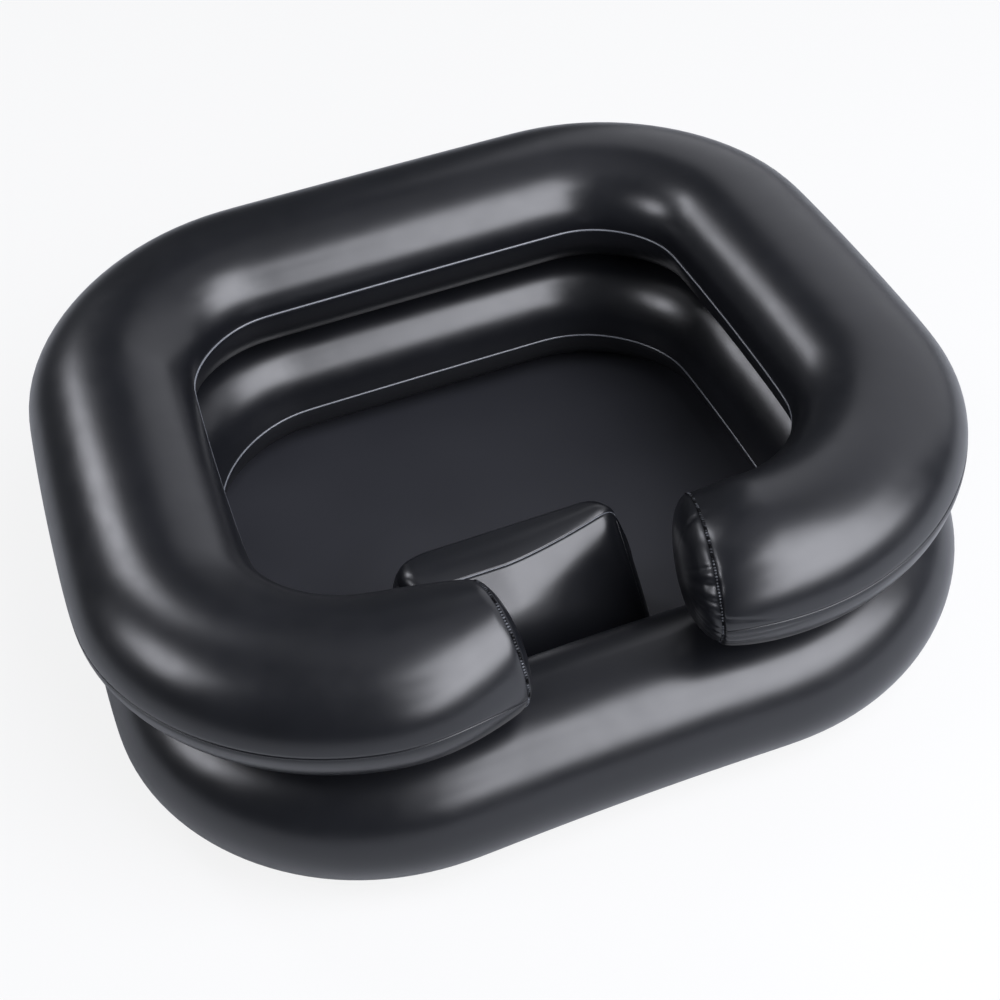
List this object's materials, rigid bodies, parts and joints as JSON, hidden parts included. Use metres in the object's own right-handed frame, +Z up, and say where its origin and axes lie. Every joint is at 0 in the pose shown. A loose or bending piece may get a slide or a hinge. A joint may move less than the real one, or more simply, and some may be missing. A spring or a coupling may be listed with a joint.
{
  "type": "portable shampoo basin",
  "caption": "Inflatable hair-washing basin: stacked air rings, the upper one open at a neck gap, a sheet floor with a drain and an inflated wedge headrest.",
  "frame": {"origin": "middle of the footprint, on the surface that the basin stands on", "axes": "+Z up, X along the basin's length, the neck gap opens towards -Y"},
  "size_m": [0.6504, 0.5894, 0.2089],
  "materials": {
    "black_vinyl": "satin, welded sheet vinyl under air pressure",
    "floor_vinyl": "satin, flat sheet vinyl",
    "valve_vinyl": "soft moulded vinyl",
    "drain_vinyl": "soft moulded vinyl"
  },
  "bodies": {
    "basin": {"drain_socket": "drain_vinyl", "floor_sheet": "floor_vinyl", "headrest_back_panel": "black_vinyl", "headrest_base_panel": "black_vinyl", "headrest_front_panel": "black_vinyl", "headrest_left_gusset": "black_vinyl", "headrest_right_gusset": "black_vinyl", "headrest_valve_body": "valve_vinyl", "headrest_valve_strap": "valve_vinyl", "lower_ring_bottom_sheet": "black_vinyl", "lower_ring_top_sheet": "black_vinyl", "lower_ring_valve_body": "valve_vinyl", "lower_ring_valve_strap": "valve_vinyl", "upper_ring_bottom_sheet": "black_vinyl", "upper_ring_left_end_panel": "black_vinyl", "upper_ring_right_end_panel": "black_vinyl", "upper_ring_top_sheet": "black_vinyl", "upper_ring_valve_body": "valve_vinyl", "upper_ring_valve_strap": "valve_vinyl"},
    "drain_plug": {"drain_plug": "drain_vinyl"},
    "headrest_valve_flap": {"headrest_valve_flap": "valve_vinyl"},
    "headrest_valve_plug": {"headrest_valve_plug": "valve_vinyl"},
    "lower_ring_valve_flap": {"lower_ring_valve_flap": "valve_vinyl"},
    "lower_ring_valve_plug": {"lower_ring_valve_plug": "valve_vinyl"},
    "upper_ring_valve_flap": {"upper_ring_valve_flap": "valve_vinyl"},
    "upper_ring_valve_plug": {"upper_ring_valve_plug": "valve_vinyl"}
  },
  "joints": [
    {"name": "upper_ring_valve_plug_pull", "type": "slide", "parent": "basin", "child": "upper_ring_valve_plug", "axis": [0.1913, 0.9192, -0.3443], "range_m": [0, 0.0095]},
    {"name": "upper_ring_valve_flap_swing", "type": "hinge", "parent": "basin", "child": "upper_ring_valve_flap", "pos_m": [0.16008, 0.27324, 0.15391], "axis": [-0.979, 0.2037, 0], "range_deg": [0, 60]},
    {"name": "lower_ring_valve_plug_pull", "type": "slide", "parent": "basin", "child": "lower_ring_valve_plug", "axis": [0.6839, 0.7296, 0], "range_m": [0, 0.0095]},
    {"name": "lower_ring_valve_flap_swing", "type": "hinge", "parent": "basin", "child": "lower_ring_valve_flap", "pos_m": [0.24228, 0.225, 0.0577], "axis": [-0.7296, 0.6839, 0], "range_deg": [0, 60]},
    {"name": "headrest_valve_plug_pull", "type": "slide", "parent": "basin", "child": "headrest_valve_plug", "axis": [0, 1, 0], "range_m": [0, 0.0095]},
    {"name": "headrest_valve_flap_swing", "type": "hinge", "parent": "basin", "child": "headrest_valve_flap", "pos_m": [0.01, -0.07576, 0.05088], "axis": [-1, 0, 0], "range_deg": [0, 60]},
    {"name": "drain_plug_lift", "type": "slide", "parent": "basin", "child": "drain_plug", "axis": [0, 0, 1], "range_m": [0, 0.01]}
  ]
}
